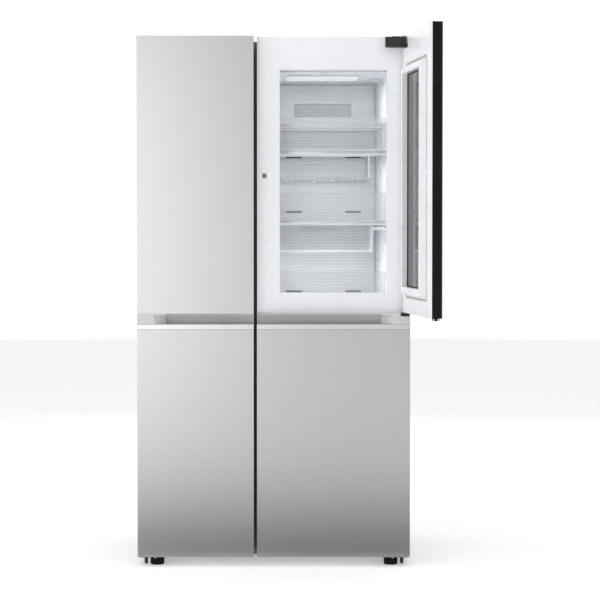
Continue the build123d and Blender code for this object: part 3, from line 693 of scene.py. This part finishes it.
HINGE_SCREW_X, HINGE_SCREW_Z = 0.400, 0.026
HINGE_SCREW_YS = (-0.325, -0.26)
HINGE_SCREW_R, BACK_SCREW_R = 0.005, 0.0042
BACK_SCREW_XS = (-0.44, -0.15, 0.15, 0.44)
BACK_SCREW_ZS = (0.045, 0.272, 0.312, 1.74)


def add_fasteners():
    """Screws under the bottom hinges and over the back."""
    mesh = bmesh.new()
    for side in (-1, 1):
        for y in HINGE_SCREW_YS:
            screw_head(mesh, (side * HINGE_SCREW_X, y, HINGE_SCREW_Z), (0, 0, -1), HINGE_SCREW_R)
    piece("bottom_hinge_screws", mesh, "cabinet", "hinge_steel")
    mesh = bmesh.new()
    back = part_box("back_panel")[1].y
    for x in BACK_SCREW_XS:
        for z in BACK_SCREW_ZS:
            screw_head(mesh, (x, back, z), (0, 1, 0), BACK_SCREW_R)
    piece("back_screws", mesh, "cabinet", "hinge_steel")


BEAD_XS = (-0.30, 0.0, 0.30)
BEAD_HALF = 0.011
BEAD_PROUD = 0.0022
BEAD_MARGIN = 0.12


def add_back_beads():
    """Pressed beads that stiffen the back panel."""
    low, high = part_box("back_panel")
    mesh = bmesh.new()
    for x in BEAD_XS:
        add_box(mesh, (x - BEAD_HALF, high.y - 0.0004, low.z + BEAD_MARGIN),
                (x + BEAD_HALF, high.y + BEAD_PROUD, high.z - BEAD_MARGIN), 0.002, 3)
    piece("back_panel_beads", mesh, "cabinet", "case_paint")


FOOT_TEETH = 24
TOOTH_INSET = 0.0004
TOOTH_LOW = 0.004
TOOTH_PROFILE = [(0.0012, 0), (0.0014, 0.001), (0.0014, 0.015), (0.0008, 0.016)]


def add_foot_ribs():
    """Grip teeth round each levelling foot."""
    for name in ("left", "right"):
        low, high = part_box(f"levelling_foot_{name}")
        middle_x, middle_y = (low.x + high.x) / 2, (low.y + high.y) / 2
        reach = (high.x - low.x) / 2 - TOOTH_INSET
        mesh = bmesh.new()
        for tooth in range(FOOT_TEETH):
            turn = 2 * math.pi * tooth / FOOT_TEETH
            at = (middle_x + reach * math.cos(turn), middle_y + reach * math.sin(turn), TOOTH_LOW)
            turned(mesh, at, (0, 0, 1), TOOTH_PROFILE, 8)
        piece(f"levelling_foot_grip_{name}", mesh, f"levelling_foot_{name}", "black_plastic")


# The latch socket's rim in X and Z, the face that it stands on and the floor of the socket
SOCKET_LOW, SOCKET_HIGH = (-0.039, 1.303), (-0.023, 1.321)
SOCKET_FACE = -0.3260
SOCKET_FLOOR_Y = (-0.3124, -0.3117)
SOCKET_INSET = 0.0025
RIM = 0.0022


def add_latch_socket():
    """The rim round the socket that takes the outer door's hook."""
    mesh = bmesh.new()
    ring_profile(mesh, SOCKET_LOW, SOCKET_HIGH, 0.003,
                 [(0, 0), (0, RIM), (RIM, RIM), (RIM, 0)], SOCKET_FACE, -1)
    add_box(mesh, (SOCKET_LOW[0] + SOCKET_INSET, SOCKET_FLOOR_Y[0], SOCKET_LOW[1] + SOCKET_INSET),
            (SOCKET_HIGH[0] - SOCKET_INSET, SOCKET_FLOOR_Y[1], SOCKET_HIGH[1] - SOCKET_INSET))
    piece("latch_socket", mesh, "fridge_door", "handle_plastic")


def add_floor():
    """A wide pale disc that takes the object's soft shadow."""
    mesh = bmesh.new()
    bmesh.ops.create_circle(mesh, cap_ends=True, segments=128, radius=FLOOR_RADIUS)
    data = bpy.data.meshes.new("floor")
    mesh.to_mesh(data)
    mesh.free()
    floor = bpy.data.objects.new("floor", data)
    bpy.context.collection.objects.link(floor)
    made, nodes, _ = material("pale_floor")
    shader = nodes["Principled BSDF"]
    shader.inputs["Base Color"].default_value = (FLOOR_TONE, FLOOR_TONE, FLOOR_TONE, 1)
    shader.inputs["Roughness"].default_value = 0.8
    shader.inputs["Emission Color"].default_value = (1, 1, 1, 1)
    shader.inputs["Emission Strength"].default_value = FLOOR_GLOW
    data.materials.append(made)


def add_flag():
    """A dark studio card on the floor, seen only in reflections, that shades the doors' feet."""
    mesh = bmesh.new()
    bmesh.ops.create_grid(mesh, x_segments=1, y_segments=1, size=0.5)
    data = bpy.data.meshes.new("floor_flag")
    mesh.to_mesh(data)
    mesh.free()
    flag = bpy.data.objects.new("floor_flag", data)
    flag.scale = FLAG_SCALE
    flag.location = FLAG_AT
    for ray in ("camera", "diffuse", "transmission", "volume_scatter", "shadow"):
        setattr(flag, f"visible_{ray}", False)
    bpy.context.collection.objects.link(flag)
    made, nodes, _ = material("dark_card")
    shader = nodes["Principled BSDF"]
    shader.inputs["Base Color"].default_value = (CARD_TONE, CARD_TONE, CARD_TONE, 1)
    shader.inputs["Specular IOR Level"].default_value = 0.0
    data.materials.append(made)


add_camera()
add_world()
add_lights()
add_inner_lights()
add_floor()
add_flag()
dress_cad()
add_bins("window_bins", "fridge_door_window_bins")
add_bins("fridge_low_bins", "fridge_door_lower_bins")
add_bins("freezer_bins", "freezer_door_bins")
for drawer_name in ("snack_drawer", "crisper_upper", "crisper_lower",
                    "freezer_drawer_upper", "freezer_drawer_lower"):
    add_drawer(drawer_name + "_moulded", drawer_name)
add_gasket("freezer_door")
add_gasket("fridge_door")
add_outer_door_details()
add_duct_details()
add_lamp_frames()
add_shelf_trims()
add_fasteners()
add_back_beads()
add_foot_ribs()
add_latch_socket()
